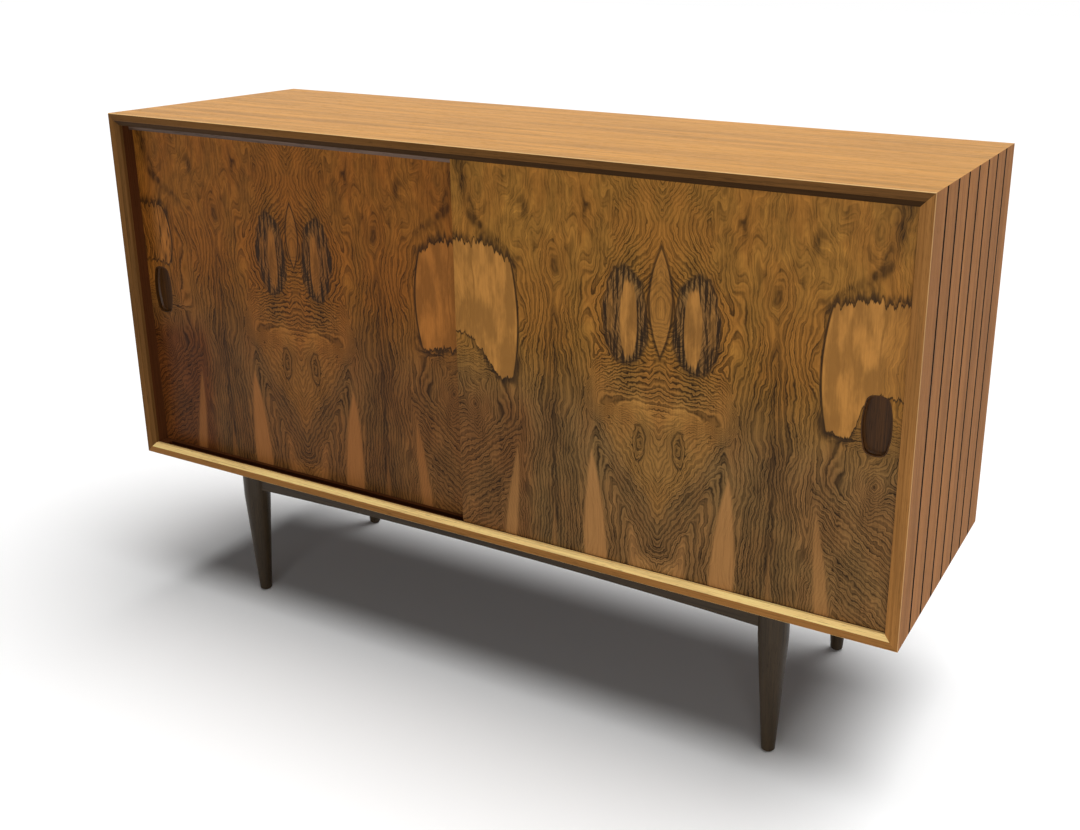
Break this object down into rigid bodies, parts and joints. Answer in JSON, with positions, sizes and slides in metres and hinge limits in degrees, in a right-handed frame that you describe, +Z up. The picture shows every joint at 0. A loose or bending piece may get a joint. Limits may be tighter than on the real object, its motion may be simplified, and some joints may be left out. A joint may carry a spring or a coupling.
{
  "type": "sideboard",
  "caption": "Low sideboard with a mitred wooden case, sliding doors that pass each other on tracks, sunk finger pulls, and a base of arched rails and turned tapered legs.",
  "frame": {"origin": "on the floor under the middle of the case", "axes": "+X to the right along the case, +Y to the back, +Z up; the doors face -Y"},
  "size_m": [1.22, 0.389, 0.762],
  "materials": {
    "case_wood": "golden brown teak, satin lacquer",
    "spline_wood": "bare hardwood",
    "track_rib_wood": "light hardwood, satin",
    "inner_wood": "teak veneer, satin",
    "lipping_wood": "solid hardwood edge strip, satin",
    "back_board": "thin plywood, lightly sealed",
    "base_wood": "stained near black, satin",
    "block_wood": "bare softwood",
    "door_core_wood": "plywood core",
    "door_face_veneer": "bookmatched figured rosewood veneer, satin",
    "door_back_veneer": "plain straight-grained veneer, satin",
    "pull_wood": "dark hardwood, satin"
  },
  "bodies": {
    "case": {"top_panel": "case_wood", "bottom_panel": "case_wood", "left_side_panel": "case_wood", "right_side_panel": "case_wood", "mitre_splines": "spline_wood", "upper_track_rib": "track_rib_wood", "centre_divider": "inner_wood", "left_shelf": "inner_wood", "right_shelf": "inner_wood", "left_shelf_lipping": "lipping_wood", "right_shelf_lipping": "lipping_wood", "back_panel": "back_board", "front_left_leg": "base_wood", "front_right_leg": "base_wood", "back_right_leg": "base_wood", "back_left_leg": "base_wood", "front_rail": "base_wood", "back_rail": "base_wood", "left_rail": "base_wood", "right_rail": "base_wood", "front_left_corner_block": "block_wood", "front_right_corner_block": "block_wood", "back_right_corner_block": "block_wood", "back_left_corner_block": "block_wood"},
    "left_door": {"left_door_outer_lipping": "lipping_wood", "left_door_inner_lipping": "lipping_wood", "left_door_core": "door_core_wood", "left_door_outer_leaf": "door_face_veneer", "left_door_inner_leaf": "door_face_veneer", "left_door_back_veneer": "door_back_veneer", "left_door_pull": "pull_wood"},
    "right_door": {"right_door_outer_lipping": "lipping_wood", "right_door_inner_lipping": "lipping_wood", "right_door_core": "door_core_wood", "right_door_outer_leaf": "door_face_veneer", "right_door_inner_leaf": "door_face_veneer", "right_door_back_veneer": "door_back_veneer", "right_door_pull": "pull_wood"}
  },
  "joints": [
    {"name": "left_door_slide", "type": "slide", "parent": "case", "child": "left_door", "axis": [1, 0, 0], "range_m": [0, 0.5715]},
    {"name": "right_door_slide", "type": "slide", "parent": "case", "child": "right_door", "axis": [1, 0, 0], "range_m": [-0.5715, 0]}
  ]
}
